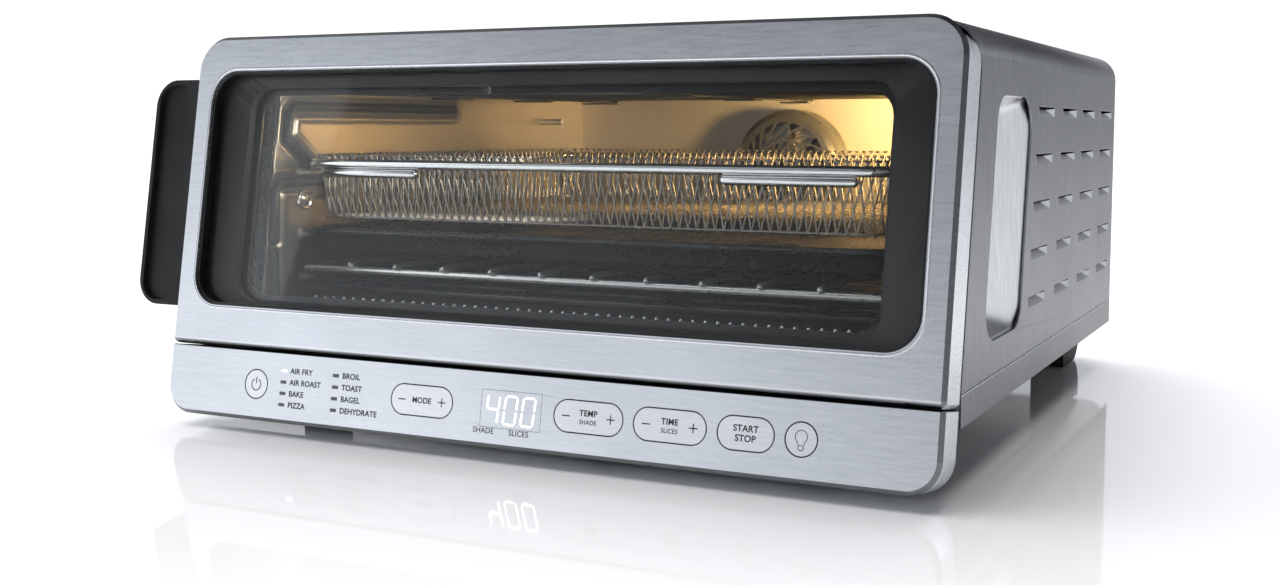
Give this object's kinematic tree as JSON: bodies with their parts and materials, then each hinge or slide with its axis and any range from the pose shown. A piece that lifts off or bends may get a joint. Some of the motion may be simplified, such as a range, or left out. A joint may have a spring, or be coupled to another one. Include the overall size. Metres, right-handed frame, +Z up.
{
  "type": "toaster oven",
  "caption": "Compact flip-up countertop toaster oven with a leaning glass drop-down door, a row of keys below it, and a wire basket, pan and rack inside.",
  "frame": {"origin": "centre of the box that encloses the oven, at the level of its feet", "axes": "+Z up, -Y towards the user in front of the door, +X to the right as seen from the front"},
  "size_m": [0.454, 0.4066, 0.201],
  "materials": {
    "brushed_front": "horizontal brushed grain",
    "brushed_shell": "vertical brushed grain",
    "bright_steel": "satin",
    "zinc_steel": "zinc plated",
    "black_enamel": "satin enamel",
    "grey_enamel": "speckled enamel",
    "black_plastic": "fine moulded texture",
    "key_plastic": "satin metallic paint",
    "lens_plastic": "diffusing",
    "board_green": "solder mask",
    "clear_glass": "tempered",
    "silicone": "matt",
    "foot_rubber": "matt",
    "chrome_wire": "bright",
    "heater_sheath": "heat tinted",
    "ceramic": "glazed",
    "glass_wool": "felted"
  },
  "bodies": {
    "oven": {"hinge_brackets": "zinc_steel", "hinge_pins": "zinc_steel", "key_panel": "brushed_front", "display_lens": "lens_plastic", "display_housing": "black_plastic", "indicator_lamps": "lens_plastic", "control_board": "board_green", "outer_shell": "brushed_shell", "right_grip_pocket": "bright_steel", "left_grip_pocket": "bright_steel", "louvre_vanes": "brushed_shell", "base_pan": "zinc_steel", "rear_panel": "black_enamel", "cord_gland": "black_plastic", "rear_screws": "zinc_steel", "front_feet": "foot_rubber", "rear_feet": "foot_rubber", "cavity_top": "grey_enamel", "cavity_floor": "grey_enamel", "cavity_left_wall": "grey_enamel", "cavity_right_wall": "grey_enamel", "cavity_mouth": "black_enamel", "cavity_back": "grey_enamel", "crumb_tray": "zinc_steel", "heat_cover": "black_enamel", "upper_heaters": "heater_sheath", "lower_heaters": "heater_sheath", "heater_bushes": "ceramic", "fan_guard": "black_enamel", "fan_motor": "zinc_steel", "lamp_housing": "zinc_steel", "lamp_lens": "clear_glass", "lamp_bulb": "clear_glass", "temperature_probe": "bright_steel", "insulation": "glass_wool", "power_board": "board_green"},
    "door": {"door_frame": "brushed_front", "window_bezel": "bright_steel", "outer_glass": "clear_glass", "glass_spacer": "black_enamel", "inner_glass": "clear_glass", "door_inner_panel": "black_enamel", "door_gasket": "silicone", "door_hinge_arms": "zinc_steel", "glass_clips": "zinc_steel", "door_screws": "zinc_steel", "door_grip": "black_plastic"},
    "basket": {"basket_rim": "chrome_wire", "basket_mesh": "chrome_wire", "sheet_pan": "black_enamel"},
    "rack": {"wire_rack": "chrome_wire"},
    "fan": {"fan_impeller": "zinc_steel", "fan_shaft": "zinc_steel"},
    "power_key": {"power_key": "key_plastic"},
    "light_key": {"light_key": "key_plastic"},
    "mode_rocker": {"mode_rocker": "key_plastic"},
    "temp_rocker": {"temp_rocker": "key_plastic"},
    "time_rocker": {"time_rocker": "key_plastic"},
    "start_key": {"start_key": "key_plastic"}
  },
  "joints": [
    {"name": "door_hinge", "type": "hinge", "parent": "oven", "child": "door", "pos_m": [0.017, -0.19335, 0.04503], "axis": [1, 0, 0], "range_deg": [0, 100]},
    {"name": "basket_slide", "type": "slide", "parent": "oven", "child": "basket", "axis": [0, -1, 0], "range_m": [0, 0.05]},
    {"name": "rack_slide", "type": "slide", "parent": "oven", "child": "rack", "axis": [0, -1, 0], "range_m": [0, 0.05]},
    {"name": "fan_spin", "type": "hinge", "parent": "oven", "child": "fan", "pos_m": [0.017, 0.14132, 0.128], "axis": [0, -1, 0], "continuous": true},
    {"name": "power_key_press", "type": "slide", "parent": "oven", "child": "power_key", "axis": [0, 0.9845, -0.1754], "range_m": [0, 0.0008], "stiffness_N_per_m": 900},
    {"name": "light_key_press", "type": "slide", "parent": "oven", "child": "light_key", "axis": [0, 0.9845, -0.1754], "range_m": [0, 0.0008], "stiffness_N_per_m": 900},
    {"name": "start_key_press", "type": "slide", "parent": "oven", "child": "start_key", "axis": [0, 0.9845, -0.1754], "range_m": [0, 0.0008], "stiffness_N_per_m": 900},
    {"name": "mode_rocker_tilt", "type": "hinge", "parent": "oven", "child": "mode_rocker", "pos_m": [-0.0291, -0.19651, 0.02441], "axis": [0, 0.1754, 0.9845], "range_deg": [-2.4, 2.4], "stiffness_Nm_per_rad": 0.6},
    {"name": "temp_rocker_tilt", "type": "hinge", "parent": "oven", "child": "temp_rocker", "pos_m": [0.0628, -0.19651, 0.02441], "axis": [0, 0.1754, 0.9845], "range_deg": [-2.4, 2.4], "stiffness_Nm_per_rad": 0.6},
    {"name": "time_rocker_tilt", "type": "hinge", "parent": "oven", "child": "time_rocker", "pos_m": [0.104, -0.19651, 0.02441], "axis": [0, 0.1754, 0.9845], "range_deg": [-2.4, 2.4], "stiffness_Nm_per_rad": 0.6}
  ],
  "couplings": [
    {"joint": "basket_slide", "follows": "door_hinge", "m_per_rad": 0.028},
    {"joint": "rack_slide", "follows": "door_hinge", "m_per_rad": 0.028}
  ]
}
